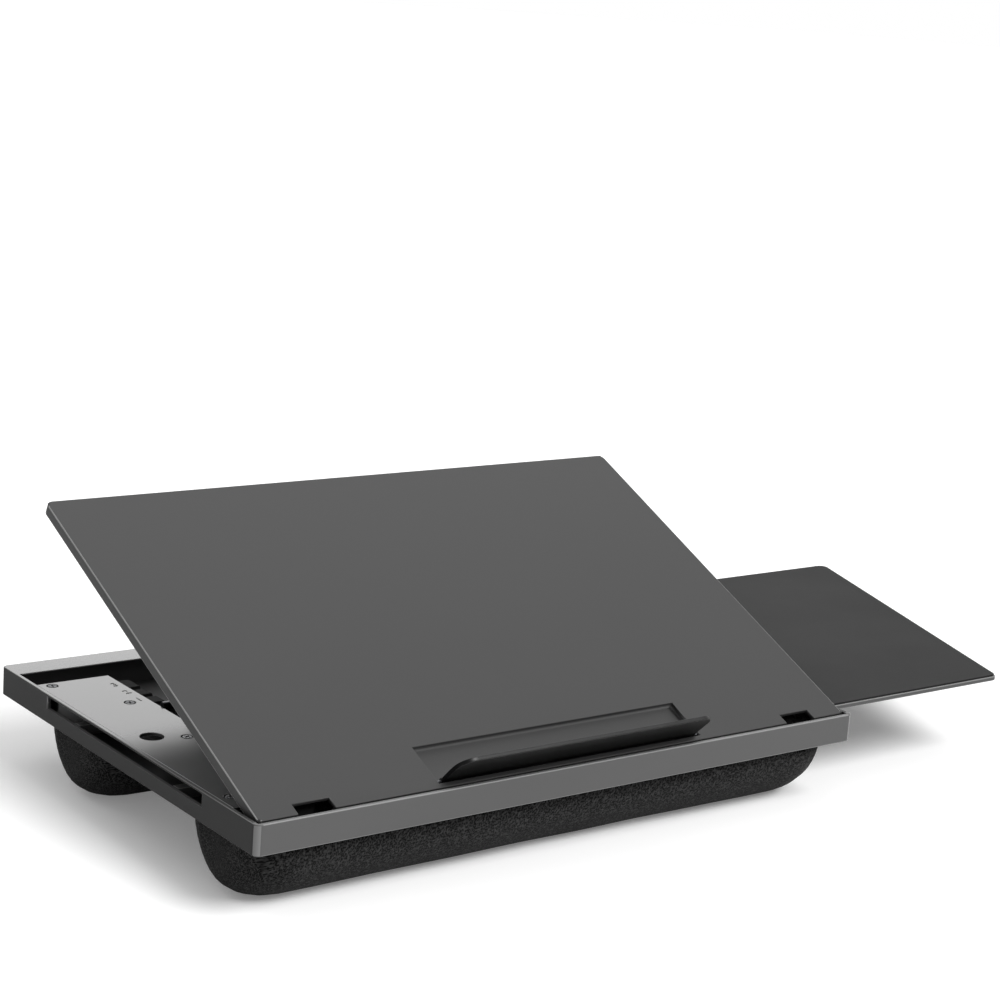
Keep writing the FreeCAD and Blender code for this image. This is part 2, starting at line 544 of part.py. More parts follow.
def make_cushions():
    """Two bolsters with crowned undersides, drawn-in flanks and rounded ends, each on a backing board."""
    reach, end = size("base_width") / 2 - size("cushion_side_inset"), size("cushion_end")
    half, depth = size("cushion_width") / 2, size("cushion_height") + size("cushion_flat")
    stations = []
    for angle in (90, 65, 40, 18, 0):
        rounding = 1 - math.cos(math.radians(angle))
        stations.append((reach - end * (1 - math.sin(math.radians(angle))),
                         half - size("end_pinch") * rounding, depth - size("end_lift") * rounding))
    stations += [(reach * WAIST_SHARES[0], half - half * WAIST_SHARES[1], depth),
                 (0, half - half * WAIST_SHARES[2], depth)]
    ordered = [(-x, wide, deep) for x, wide, deep in stations] + stations[:-1]
    for name in ("front", "rear"):
        slices = [bolster_section(x, wide, deep) for x, wide, deep in sorted(ordered)]
        form = doc.addObject("Part::Feature", f"{name}_bolster")
        form.Shape = Part.makeLoft(slices, True, True)
        form.setExpression("Placement.Base.y", bound(cushion_middle(name)))
        form.setExpression("Placement.Base.z", bound("cushion_height"))
        middle = cushion_middle(name)
        around = (f"{middle} - cushion_width", f"{middle} + cushion_width")
        under = block(("-base_width", "base_width"), around, ("-2 * cushion_flat", "0"))
        seat = block(("-backing_length / 2 - backing_fit", "backing_length / 2 + backing_fit"),
                     (f"{middle} - backing_width / 2 - backing_fit",
                      f"{middle} + backing_width / 2 + backing_fit"),
                     ("cushion_height - backing_sheet - backing_fit", "cushion_height + overrun"))
        keep(cut(form, under, seat), f"{name}_cushion")
        sheet_block = block(("-backing_length / 2", "backing_length / 2"),
                            (f"{middle} - backing_width / 2", f"{middle} + backing_width / 2"),
                            ("cushion_height - backing_sheet", "cushion_height"))
        through = ("cushion_height - backing_sheet - overrun", "cushion_height + overrun")
        holes = [round_bar("screw_shank + screw_fit", *through, spot, "z")
                 for spot in backing_screw_spots() if middle in spot[1]]
        keep(cut(sheet_block, *holes), f"{name}_backing_board")
    screws = [screw(spot, FLOOR, "cushion_height - backing_sheet") for spot in backing_screw_spots()]
    keep(group_of(*screws), "backing_screws")


NOTCHES = 4
BOARD_SCREW_SHARES = (0.12, 0.37, 0.63, 0.88)
BACKING_SCREW_SHARE = 0.38
FLANK_SHARES = (0.40, 0.90)
FLANK_MID_SHARES = (0.88, 0.43)
WAIST_SHARES = (0.45, 0.02, 0.04)

make_lower_shell()
make_deck()
make_racks()
make_hinges()
make_platform()
make_prop()
make_lip()
make_mouse_board()
make_tongue_rails()
make_cushions()
doc.recompute()

for obj in doc.Objects:
    if "Invalid" in obj.State or "Error" in obj.State:
        raise RuntimeError(f"{obj.Label} failed: {obj.State}")
for label, obj in nodes.items():
    if obj.Shape.isNull() or not obj.Shape.isValid():
        raise RuntimeError(f"{label} has no valid shape")
os.makedirs("parts", exist_ok=True)
for label, obj in nodes.items():
    obj.Shape.exportStep(f"parts/{label}.step")
    box = obj.Shape.BoundBox
    print(f"{label}: {len(obj.Shape.Solids)} solids, {obj.Shape.Volume:.0f} mm3, "
          f"x {box.XMin:.1f}..{box.XMax:.1f} y {box.YMin:.1f}..{box.YMax:.1f} "
          f"z {box.ZMin:.1f}..{box.ZMax:.1f}")
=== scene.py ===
# %% [markdown]
# # A lap tray with cushions
# The tray is a shallow plastic base on two cloth bolsters, with a platform that tilts on a folding
# prop. The exact solids come in as a fixed frame. This lesson dresses them: it rounds the moulded
# edges, stuffs the bolsters, drives the screws and gives each surface the finish of its material.

# %% Load the solids
import json
import math

import bmesh
import bpy
from mathutils import Matrix, Vector, noise
from mathutils.bvhtree import BVHTree


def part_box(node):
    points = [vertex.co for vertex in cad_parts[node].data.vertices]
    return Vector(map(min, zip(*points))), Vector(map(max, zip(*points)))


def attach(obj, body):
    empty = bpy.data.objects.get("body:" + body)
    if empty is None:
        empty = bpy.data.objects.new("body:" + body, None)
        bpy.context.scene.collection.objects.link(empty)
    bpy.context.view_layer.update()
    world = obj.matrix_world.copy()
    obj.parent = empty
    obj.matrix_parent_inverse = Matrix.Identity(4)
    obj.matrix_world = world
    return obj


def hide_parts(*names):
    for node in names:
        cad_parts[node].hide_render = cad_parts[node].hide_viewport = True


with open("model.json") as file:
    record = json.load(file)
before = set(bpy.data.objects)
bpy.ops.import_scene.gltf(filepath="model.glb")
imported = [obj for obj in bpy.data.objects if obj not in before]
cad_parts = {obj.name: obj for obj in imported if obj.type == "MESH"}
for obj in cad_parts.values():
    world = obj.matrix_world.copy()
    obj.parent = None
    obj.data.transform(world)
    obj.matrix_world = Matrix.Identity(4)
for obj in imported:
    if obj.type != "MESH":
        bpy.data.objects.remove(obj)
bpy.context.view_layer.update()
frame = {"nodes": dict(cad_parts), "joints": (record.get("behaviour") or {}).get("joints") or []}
MM = 0.001
scene = bpy.context.scene
joints = {joint["name"]: joint for joint in frame["joints"]}


def corners_mm(node):
    """A solid's lowest and highest corners in millimetres, to a thousandth."""
    return [Vector([round(value / MM, 3) for value in corner]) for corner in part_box(node)]


print("solids loaded:", len(frame["nodes"]), "joints:", len(joints))

# %% [markdown]
# ## Tools for the finishes
# A finish is a small net of nodes. One function turns a colour as a paint chart gives it into the
# linear numbers that Blender adds up. One sets a node into a net, and one gives a node its inputs:
# by name, or by number where names repeat. A Mix node blends input 6 into 7 for colours, or 2 into 3
# for numbers. A Map Range node takes the span from 1 to 2 over to the span from 3 to 4. Everything
# else is written out, so that each finish can be read from top to bottom.

# %% Colour and node helpers
def chart(code):
    """An sRGB hex colour as linear RGBA."""
    parts = [int(code[i:i + 2], 16) / 255 for i in (0, 2, 4)]
    linear = [c / 12.92 if c <= 0.04045 else ((c + 0.055) / 1.055) ** 2.4 for c in parts]
    return (*linear, 1.0)


def feed(tree, node, inputs):
    """Give a node its inputs: plain values, or other nodes' outputs."""
    for name, value in inputs.items():
        if isinstance(value, bpy.types.NodeSocket):
            tree.links.new(value, node.inputs[name])
        else:
            node.inputs[name].default_value = value


def add(tree, kind, inputs=None, **settings):
    """A new node with its settings and its inputs."""
    node = tree.nodes.new(kind)
    for name, value in settings.items():
        setattr(node, name, value)
    feed(tree, node, inputs or {})
    return node


def new_finish(name):
    """An empty finish: its net, its shader and its object coordinates."""
    finish = bpy.data.materials.new(name)
    finish.use_nodes = True
    tree = finish.node_tree
    shader = tree.nodes["Principled BSDF"]
    place = add(tree, "ShaderNodeTexCoord").outputs["Object"]
    return finish, tree, shader, place


print("middle grey 808080 is", round(chart("808080")[0], 3), "in linear light")

# %% [markdown]
# ## Moulded ABS
# The base, the deck and the platform are ABS, moulded in a tool whose steel was spark-eroded. That
# leaves a fine, even grain of a few tenths of a millimetre, drawn here at nearly a millimetre so
# that it shows. The grain breaks up the gloss, so the top faces shine only at a low angle. One
# function makes the family, because the parts differ only in how dark and how deep the grain is.
# The shell and the platform each get a smoother, paler copy for their edges, whose paler colour
# is a painted highlight; the shell also gets darker copies for its side walls and its inside,
# which are painted shade.

# %% Moulded plastics
CLOUD_MM = 70  # between the faint light and dark patches of a moulding
GRAIN_DEPTH_MM = 0.05
GLOSS_DRIFT = 0.04  # how far the roughness wanders from patch to patch


def moulded_abs(name, dark, light, rough, grain_mm, relief, shine=0.3, skin=0.0):
    """ABS between two greys; skin is the clear gloss that a polished part of the tool leaves."""
    finish, tree, shader, place = new_finish(name)
    cloud = add(tree, "ShaderNodeTexNoise",
                {"Vector": place, "Scale": 1 / (CLOUD_MM * MM), "Detail": 3.0})
    tint = add(tree, "ShaderNodeMix",
               {0: cloud.outputs[0], 6: chart(dark), 7: chart(light)}, data_type="RGBA")
    haze = add(tree, "ShaderNodeMapRange",
               {0: cloud.outputs[0], 3: rough - GLOSS_DRIFT, 4: rough + GLOSS_DRIFT})
    grain = add(tree, "ShaderNodeTexNoise",
                {"Vector": place, "Scale": 1 / (grain_mm * MM), "Detail": 2.0})
    bump = add(tree, "ShaderNodeBump",
               {"Height": grain.outputs[0], "Strength": relief, "Distance": GRAIN_DEPTH_MM * MM})
    feed(tree, shader, {
        "Base Color": tint.outputs[2], "Roughness": haze.outputs[0], "Normal": bump.outputs[0],
        "Specular IOR Level": shine,
        "Coat Weight": skin, "Coat Roughness": 0.12, "Coat IOR": 1.22})
    return finish


shell_abs = moulded_abs("shell_abs", "5d5d5d", "636363", 0.46, grain_mm=0.9, relief=0.3, shine=0.15)
# Darker copy of the shell plastic for the side walls: painted shade.
side_shade_abs = moulded_abs("shell_abs_side_painted_shade", "404040", "454545", 0.50, grain_mm=0.9, relief=0.3, shine=0.05)
# Paler, smoother copy for the shell's bevels: its paler colour is a painted highlight.
shell_highlight_abs = moulded_abs("shell_abs_painted_highlight", "7c7c7c", "868686", 0.32, grain_mm=2.0, relief=0.05)
rim_abs = moulded_abs("shell_abs_polished", "4a4a4a", "515151", 0.26, grain_mm=0.9, relief=0.1, skin=0.5)
# Darker copy of the shell plastic for the shell's inside: painted shade.
inside_shade_abs = moulded_abs("shell_abs_inside_painted_shade", "323232", "383838", 0.60, grain_mm=1.4, relief=0.4, shine=0.15)
platform_abs = moulded_abs("platform_abs", "2f2f2f", "353535", 0.50, grain_mm=0.8, relief=0.45)
# Paler, smoother copy for the platform's bevels: its paler colour is a painted highlight.
platform_highlight_abs = moulded_abs("platform_abs_painted_highlight", "7c7c7c", "868686", 0.34, grain_mm=2.0, relief=0.05)
rack_abs = moulded_abs("rack_abs", "131313", "191919", 0.70, grain_mm=0.9, relief=0.3, shine=0.05)
prop_abs = moulded_abs("prop_abs", "1b1b1b", "212121", 0.34, grain_mm=0.9, relief=0.2)
board_abs = moulded_abs("board_abs", "4a4a4a", "535353", 0.40, grain_mm=0.9, relief=0.3)
print("moulded finishes made")

# %% [markdown]
# ## Deck
# The deck is one thin sheet of ABS, but it doesn't look the same all over: it is satin at the back
# and matte towards the hinge, and towards the hinge its colour is also painted darker, as painted
# shade under the platform. So its colour and its roughness follow the depth, and a slow noise keeps
# the change from being a straight line.

# %% Deck plastic
SHADED_MATTE_Y_MM, LIT_SATIN_Y_MM = 38, 112  # the finish changes between these depths
DECK_CLOUD_MM = 40
deck_abs_painted_shade, tree, shader, place = new_finish("deck_abs_painted_shade")
along = add(tree, "ShaderNodeSeparateXYZ", {0: place})
# From the hinge, where the colour carries painted shade and the plastic is matte, to the satin back.
lit_and_satin = add(tree, "ShaderNodeMapRange",
           {0: along.outputs[1], 1: SHADED_MATTE_Y_MM * MM, 2: LIT_SATIN_Y_MM * MM, 3: 0.0, 4: 1.0},
           interpolation_type="SMOOTHSTEP")
cloud = add(tree, "ShaderNodeTexNoise",
            {"Vector": place, "Scale": 1 / (DECK_CLOUD_MM * MM), "Detail": 3.0})
drift = add(tree, "ShaderNodeMath",
            {0: cloud.outputs[0], 1: 0.3, 2: lit_and_satin.outputs[0]}, operation="MULTIPLY_ADD")
# Near black towards the hinge: painted shade under the platform.
tint = add(tree, "ShaderNodeMix",
           {0: lit_and_satin.outputs[0], 6: chart("0c0c0c"), 7: chart("444444")}, data_type="RGBA")
haze = add(tree, "ShaderNodeMapRange", {0: drift.outputs[0], 1: 0.1, 2: 1.1, 3: 0.7, 4: 0.16})
feed(tree, shader, {"Base Color": tint.outputs[2], "Roughness": haze.outputs[0], "IOR": 1.55})
print("deck: matte up to", SHADED_MATTE_Y_MM, "mm and satin from", LIT_SATIN_Y_MM, "mm")

# %% [markdown]
# ## Gloss plastic, blackened steel and pad cloth
# The stop lip is polished black ABS: almost no grain, with faint waves from the mould. Pins, rods
# and screws are steel with a black oxide skin, brushed along their length. The board's skin is a
# tight cloth over foam, too fine to count threads, so its weave is drawn at about a millimetre.

# %% Gloss of the stop lip
WAVE_MM, WAVE_DEPTH_MM = 18, 0.2
lip_gloss, tree, shader, place = new_finish("lip_gloss_abs")
wave = add(tree, "ShaderNodeTexNoise", {"Vector": place, "Scale": 1 / (WAVE_MM * MM), "Detail": 1.0})
tint = add(tree, "ShaderNodeMix",
           {0: wave.outputs[0], 6: chart("0d0d0d"), 7: chart("131313")}, data_type="RGBA")
haze = add(tree, "ShaderNodeMapRange", {0: wave.outputs[0], 3: 0.30, 4: 0.40})
bump = add(tree, "ShaderNodeBump",
           {"Height": wave.outputs[0], "Strength": 0.15, "Distance": WAVE_DEPTH_MM * MM})
feed(tree, shader, {
    "Base Color": tint.outputs[2], "Roughness": haze.outputs[0], "Normal": bump.outputs[0],
    "Specular IOR Level": 0.25})
print("lip gloss made, waves", WAVE_MM, "mm apart")

# %% Black oxide steel
STREAKS_PER_M = (60.0, 2500.0, 2500.0)  # streaks 17 mm long and 0.4 mm wide
black_steel, tree, shader, place = new_finish("black_oxide_steel")
stretch = add(tree, "ShaderNodeMapping", {"Vector": place, "Scale": STREAKS_PER_M})
brush = add(tree, "ShaderNodeTexNoise", {"Vector": stretch.outputs[0], "Scale": 1.0, "Detail": 3.0})
tint = add(tree, "ShaderNodeMix",
           {0: brush.outputs[0], 6: chart("3a3b3d"), 7: chart("5a5b5e")}, data_type="RGBA")
haze = add(tree, "ShaderNodeMapRange", {0: brush.outputs[0], 3: 0.28, 4: 0.46})
feed(tree, shader, {"Base Color": tint.outputs[2], "Roughness": haze.outputs[0], "Metallic": 1.0})
print("black steel made")

# %% Pad cloth
FIBRE_MM, FIBRE_DEPTH_MM, PAD_CLOUD_MM = 0.9, 0.08, 60
pad_cloth, tree, shader, place = new_finish("mouse_cloth")
fibre = add(tree, "ShaderNodeTexNoise", {"Vector": place, "Scale": 1 / (FIBRE_MM * MM), "Detail": 2.0})
cloud = add(tree, "ShaderNodeTexNoise",
            {"Vector": place, "Scale": 1 / (PAD_CLOUD_MM * MM), "Detail": 2.0})
tint = add(tree, "ShaderNodeMix",
           {0: fibre.outputs[0], 6: chart("1a1a1a"), 7: chart("242424")}, data_type="RGBA")
haze = add(tree, "ShaderNodeMapRange", {0: cloud.outputs[0], 3: 0.66, 4: 0.76})
bump = add(tree, "ShaderNodeBump",
           {"Height": fibre.outputs[0], "Strength": 0.5, "Distance": FIBRE_DEPTH_MM * MM})
feed(tree, shader, {
    "Base Color": tint.outputs[2], "Roughness": haze.outputs[0], "Normal": bump.outputs[0],
    "Specular IOR Level": 0.12})
print("pad cloth made, fibres", FIBRE_MM, "mm apart")

# %% [markdown]
# ## Bolster cloth
# The bolsters wear a dark heather knit: threads of two greys spun together, about a millimetre
# apart. Threads follow the cloth, so the pattern reads a map laid round each bolster. The knit is
# two crossing rows of loops, each a Wave texture, which repeats every tenth of pi at a scale of one.
# The heather is two noises as fine as the loops: one mixes the greys, and one adds pale flecks.

# %% Heather knit: threads and loops
THREAD_MM = 1.1
WANDER_MM, WANDER_EVERY_MM = 1.2, 3  # how far a row strays from its line, and how often
SLUB_MM, FLECK_MM, PATCH_MM = 0.8, 1.2, 25
heather, tree, shader, _ = new_finish("heather_knit")
lay = add(tree, "ShaderNodeUVMap", uv_map="cloth").outputs["UV"]
wander = add(tree, "ShaderNodeTexNoise",
             {"Vector": lay, "Scale": 1 / (WANDER_EVERY_MM * MM), "Detail": 1.0})
bent = add(tree, "ShaderNodeVectorMath",
           {0: wander.outputs[1], 1: (WANDER_MM * MM, WANDER_MM * MM, 0.0), 2: lay},
           operation="MULTIPLY_ADD")
rows = {"Vector": bent.outputs[0], "Scale": math.pi / (10 * THREAD_MM * MM)}
warp = add(tree, "ShaderNodeTexWave", rows, bands_direction="X")
weft = add(tree, "ShaderNodeTexWave", rows, bands_direction="Y")
loops = add(tree, "ShaderNodeMath", {0: warp.outputs[1], 1: weft.outputs[1]}, operation="MULTIPLY")
slub = add(tree, "ShaderNodeTexNoise", {"Vector": lay, "Scale": 1 / (SLUB_MM * MM), "Detail": 0.0})
fleck = add(tree, "ShaderNodeTexNoise",
            {"Vector": lay, "Scale": 1 / (FLECK_MM * MM), "Detail": 0.0, "W": 4.0},
            noise_dimensions="4D")
patch = add(tree, "ShaderNodeTexNoise", {"Vector": lay, "Scale": 1 / (PATCH_MM * MM), "Detail": 2.0})
print("loops laid", THREAD_MM, "mm apart")

# %% Heather knit: colour and pile
PILE_DEPTH_MM = 0.12
yarn = add(tree, "ShaderNodeValToRGB", {"Fac": slub.outputs[0]})
for stop, position, code in zip(yarn.color_ramp.elements, (0.42, 0.60), ("040404", "3a3a3a")):
    stop.position = position
    stop.color = chart(code)
paleness = add(tree, "ShaderNodeMapRange", {0: fleck.outputs[0], 1: 0.55, 2: 0.66, 3: 0.0, 4: 0.6})
spun = add(tree, "ShaderNodeMix",
           {0: paleness.outputs[0], 6: yarn.outputs[0], 7: chart("525252")}, data_type="RGBA")
shade = add(tree, "ShaderNodeMapRange", {0: loops.outputs[0], 3: 0.85, 4: 1.0})
knit = add(tree, "ShaderNodeMix",
           {0: shade.outputs[0], 6: chart("050505"), 7: spun.outputs[2]}, data_type="RGBA")
pile = add(tree, "ShaderNodeMath", {0: loops.outputs[0], 1: slub.outputs[0]}, operation="ADD")
bump = add(tree, "ShaderNodeBump",
           {"Height": pile.outputs[0], "Strength": 0.1, "Distance": PILE_DEPTH_MM * MM})
haze = add(tree, "ShaderNodeMapRange", {0: patch.outputs[0], 3: 0.86, 4: 0.98})
feed(tree, shader, {
    "Base Color": knit.outputs[2], "Roughness": haze.outputs[0], "Normal": bump.outputs[0],
    "Sheen Weight": 0.06, "Sheen Roughness": 0.5, "Specular IOR Level": 0.05})
print("bolster cloth made")

# %% [markdown]
# ## Rounded mouldings
# A solid from the drawing has knife edges, and no moulding has: the tool leaves a radius of a few
# tenths. A copy of each solid is merged into clean faces and its outer edges are bevelled. The
# bevel takes a paler finish, a painted highlight along the outer edges. Inner corners stay sharp,
# with no painted highlight.

# %% Pieces and their seats
MERGE = 1e-6  # corners closer than a thousandth of a millimetre are one


def put(name, mesh):
    piece = bpy.data.objects.new(name, mesh)
    scene.collection.objects.link(piece)
    return piece


def baked(piece):
    """The piece as its modifiers leave it, as a plain mesh."""
    graph = bpy.context.evaluated_depsgraph_get()
    mesh = bpy.data.meshes.new_from_object(piece.evaluated_get(graph))
    piece.modifiers.clear()
    piece.data = mesh
    return piece


def smooth(mesh):
    mesh.polygons.foreach_set("use_smooth", [True] * len(mesh.polygons))


def seat(piece, body, slot, *nodes):
    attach(piece, body)
    if nodes:
        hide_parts(*nodes)


# %% [markdown]
# ## The rim's parting lines
# The rim's top is one flat ring round the tray, but its sides and its back are finished apart. Two
# cuts across the ring give each stretch faces of its own. Only the flat top is cut, because the
# walls below it have slots that a cut could close.

# %% Part the rim
shell_low, shell_high = corners_mm("lower_shell")
RIM_Z = shell_high.z - 0.5  # what lies higher is the rim's top or its rounding
FRONT_CUT, REAR_CUT = shell_low.y + 4, shell_high.y - 18  # the side rims lie between
PARTINGS = {"lower_shell": (FRONT_CUT, REAR_CUT)}
FACES_UP = 0.9


def on_rim(face):
    return face.normal.z > FACES_UP and face.calc_center_median().z > RIM_Z * MM


def part_rim(cell, cut):
    """Cut the rim's flat top across at one depth and mark what lies behind the cut."""
    for face in cell.faces:
        face.tag = on_rim(face)
    top = [face for face in cell.faces if face.tag]
    for things in (cell.edges, cell.verts):
        top += [thing for thing in things if any(face.tag for face in thing.link_faces)]
    bmesh.ops.bisect_plane(cell, geom=top, plane_co=(0, cut, 0), plane_no=(0, 1, 0))
    for face in cell.faces:
        if on_rim(face) and face.calc_center_median().y > cut:
            face.material_index += 1


print("rim parted at", round(FRONT_CUT, 1), "and", round(REAR_CUT, 1), "mm")

# %% Bevelled copies of the solids
FLAT = math.radians(0.5)  # faces that meet at less are one face
SHARP = math.radians(40)  # outer edges that turn by more are rounded


def clean_copy(node):
    """A solid's mesh with its triangles merged into whole faces and its outer edges marked."""
    mesh = frame["nodes"][node].data.copy()
    cell = bmesh.new()
    cell.from_mesh(mesh)
    bmesh.ops.remove_doubles(cell, verts=cell.verts, dist=MERGE)
    for face in cell.faces:
        face.material_index = 0
    for cut in PARTINGS.get(node, ()):
        part_rim(cell, cut * MM)
    bmesh.ops.dissolve_limit(cell, angle_limit=FLAT, verts=cell.verts, edges=cell.edges,
                             delimit={"MATERIAL"})
    if node == "platform_panel":  # its lower edge is one long ring with notches, so it is split up
        bmesh.ops.connect_verts_concave(cell, faces=cell.faces[:])
    outer = cell.edges.layers.float.new("bevel_weight_edge")
    for line in cell.edges:
        if len(line.link_faces) == 2 and line.is_convex and line.calc_face_angle() > SHARP:
            line[outer] = 1.0
    cell.to_mesh(mesh)
    cell.free()
    return mesh


def rounded_copy(node, name, finish, edge_highlight, radius_mm, body, slot):
    mesh = clean_copy(node)
    mesh.materials.clear()
    mesh.materials.append(finish)
    mesh.materials.append(edge_highlight)
    mesh.polygons.foreach_set("material_index", [0] * len(mesh.polygons))
    smooth(mesh)
    piece = put(name, mesh)
    bevel = piece.modifiers.new("rounded_edges", "BEVEL")
    bevel.width = radius_mm * MM
    bevel.segments = 3
    bevel.limit_method = "WEIGHT"
    bevel.use_clamp_overlap = False
    # The bevel faces take the second, paler finish: a painted highlight.
    bevel.material = 1
    flats = piece.modifiers.new("flat_faces_stay_flat", "WEIGHTED_NORMAL")
    flats.weight = 100
    baked(piece)
    seat(piece, body, slot, node)
    return piece


# %% Round every moulding
# For each solid: its piece, finish, finish for its edges with their painted highlight, radius of its edges
# in millimetres, body and slot
MOULDINGS = {
    "lower_shell": ("tray_shell", shell_abs, shell_highlight_abs, 0.5, "base", "shell_plastic"),
    "deck_plate": ("deck_cover", deck_abs_painted_shade, shell_highlight_abs, 0.25, "base", "deck_plastic"),
    "left_rack": ("left_notch_rack", rack_abs, rack_abs, 0.3, "base", "shell_plastic"),
    "right_rack": ("right_notch_rack", rack_abs, rack_abs, 0.3, "base", "shell_plastic"),
    "left_hinge_bracket": ("left_hinge_ear", rack_abs, rack_abs, 0.3, "base", "shell_plastic"),
    "right_hinge_bracket": ("right_hinge_ear", rack_abs, rack_abs, 0.3, "base", "shell_plastic"),
    "tongue_rails": ("tongue_ribs", shell_abs, shell_highlight_abs, 0.3, "base", "shell_plastic"),
    "platform_panel": ("platform_pan", platform_abs, platform_highlight_abs, 0.5, "platform", "platform_plastic"),
    "left_hinge_lugs": ("left_hinge_eyes", rack_abs, rack_abs, 0.25, "platform", "platform_plastic"),
    "right_hinge_lugs": ("right_hinge_eyes", rack_abs, rack_abs, 0.25, "platform", "platform_plastic"),
    "left_prop_lug": ("left_prop_eye", platform_abs, platform_highlight_abs, 0.25, "platform", "platform_plastic"),
    "right_prop_lug": ("right_prop_eye", platform_abs, platform_highlight_abs, 0.25, "platform", "platform_plastic"),
    "prop_frame": ("prop_yoke", prop_abs, prop_abs, 0.35, "prop", "prop_plastic"),
    "board_tongue": ("tongue_bracket", board_abs, board_abs, 0.3, "mouse_board", "board_plastic"),
    "mouse_board": ("board_core", board_abs, shell_highlight_abs, 0.4, "mouse_board", "board_plastic"),
    "mouse_pad": ("board_skin", pad_cloth, pad_cloth, 0.3, "mouse_board", "pad_skin"),
}
for node, how in MOULDINGS.items():
    piece = rounded_copy(node, *how)
    print(piece.name, len(piece.data.polygons), "faces")

# %% [markdown]
# ## Faces that were finished apart
# The rear rim's top came from a polished part of the tool. The shell's inside is rough and painted
# dark: painted shade. The side rims take the deck's finish, with its painted shade towards the
# hinge. The upright corners get the pale finish for edges, a painted highlight, as the front and
# rear edges do; the side walls are painted darker, as painted shade, and the side rims' bevels get
# no painted highlight. On the platform only the sides and the back get the painted highlight. A
# face's place and direction say which finish it takes.
# Pins, rods and backing boards keep the solids' own shape and only get a finish.

# %% Shell faces
PLAIN, HIGHLIT, POLISHED, SHADED_INSIDE, SHADED_SIDE, DECK = range(6)
SIDE_RIM_X, SIDE_WALL_X = shell_high.x - 4, shell_high.x - 2
INSIDE_FRONT, INSIDE_REAR, INSIDE_FLOOR = shell_low.y + 1.5, shell_high.y - 4, shell_low.z + 1


def shell_finish(spot, out, finish):
    """The finish of a shell face, from its place in millimetres and the direction it looks in."""
    across, on_top = abs(spot.x), spot.z > RIM_Z
    if on_top and out.z > FACES_UP and spot.y > REAR_CUT and finish == PLAIN:
        return POLISHED
    inward = out.x * spot.x < 0
    # The side rims take the deck's finish, its painted shade included.
    if on_top and across > SIDE_RIM_X and FRONT_CUT < spot.y < REAR_CUT and (out.z > 0.98 or inward):
        return DECK
    # The shell's inside takes the darker copy: painted shade.
    if across < SIDE_WALL_X and INSIDE_FRONT < spot.y < INSIDE_REAR and INSIDE_FLOOR < spot.z < RIM_Z:
        return SHADED_INSIDE
    # Upright corners take the pale finish: a painted highlight.
    upright_corner = abs(out.x) > 0.3 and abs(out.y) > 0.3 and abs(out.z) < 0.2
    if upright_corner:
        return HIGHLIT
    # The side walls take the darker copy: painted shade.
    if across > SIDE_WALL_X and abs(out.x) > 0.9:
        return SHADED_SIDE
    # The side rims' bevels lose the pale painted highlight.
    if across > SIDE_RIM_X and out.z > 0.05 and finish == HIGHLIT:
        return PLAIN
    return finish


shell = bpy.data.objects["tray_shell"].data
for finish in (rim_abs, inside_shade_abs, side_shade_abs, deck_abs_painted_shade):
    shell.materials.append(finish)
for face in shell.polygons:
    face.material_index = shell_finish(face.center / MM, face.normal, face.material_index)
counts = [sum(face.material_index == finish for face in shell.polygons) for finish in range(6)]
print("shell faces by finish:", counts)

# %% Platform faces
HINGE_AXIS = Vector(joints["platform_tilt"]["pos_m"])
TILT = math.radians(-joints["platform_tilt"]["range_deg"][0])
PLAIN_X, PLAIN_Y = 174, 213  # beyond these, in millimetres, the sides and the back keep the pale painted highlight
laid_flat = Matrix.Rotation(-TILT, 4, "X") @ Matrix.Translation(-HINGE_AXIS)
pan = bpy.data.objects["platform_pan"].data
# Bevels away from the sides and the back lose the pale painted highlight.
for face in pan.polygons:
    spot = laid_flat @ face.center / MM
    if abs(spot.x) < PLAIN_X and spot.y < PLAIN_Y:
        face.material_index = PLAIN
print("platform faces rubbed:", sum(face.material_index == HIGHLIT for face in pan.polygons))

# %% Pins, rods and backing boards
RODS = ("left_hinge_pin", "right_hinge_pin", "left_prop_pin", "right_prop_pin", "prop_foot_rod", "lip_rod")
BACKING = ("front_backing_board", "rear_backing_board")
for finish, nodes in ((black_steel, RODS), (prop_abs, BACKING)):
    for node in nodes:
        solid = frame["nodes"][node].data
        solid.materials.clear()
        solid.materials.append(finish)
print(len(RODS), "pins and rods and", len(BACKING), "backing boards finished")

# %% [markdown]
# ## Stop lip
# The lip is a thin flap, a little hollow towards the user, with rounded top corners. Its gloss
# shows every facet, so it isn't copied from the solid. A fine sheet is bent to the same hollow,
# given its thickness with Solidify and rounded with Bevel. A barrel round the rod carries it.

# %% Bend the lip
LIP = {"width": 153 * MM, "height": 21.5 * MM, "sag": 2.0 * MM, "sheet": 2.0 * MM, "corner": 8 * MM}
CROWDING = 0.6  # columns stand closer at the ends, where the corners are rounded


def lip_sheet(columns=96, rows=12):
    cell = bmesh.new()
    half, corner = LIP["width"] / 2, LIP["corner"]
    grid = []
    for i in range(columns + 1):
        share = 2 * i / columns - 1
        x = half * (CROWDING * math.sin(share * math.pi / 2) + (1 - CROWDING) * share)
        over = max(0.0, abs(x) - (half - corner))
        top = LIP["height"] - corner + math.sqrt(max(0.0, corner ** 2 - over ** 2))
        line = []
        for j in range(rows + 1):
            y = top * j / rows
            line.append(cell.verts.new((x, y, LIP["sag"] * (y / LIP["height"]) ** 2)))
        grid.append(line)
    for i in range(columns):
        for j in range(rows):
            cell.faces.new((grid[i][j], grid[i + 1][j], grid[i + 1][j + 1], grid[i][j + 1]))
    mesh = bpy.data.meshes.new("lip_flap")
    cell.to_mesh(mesh)
    cell.free()
    return mesh


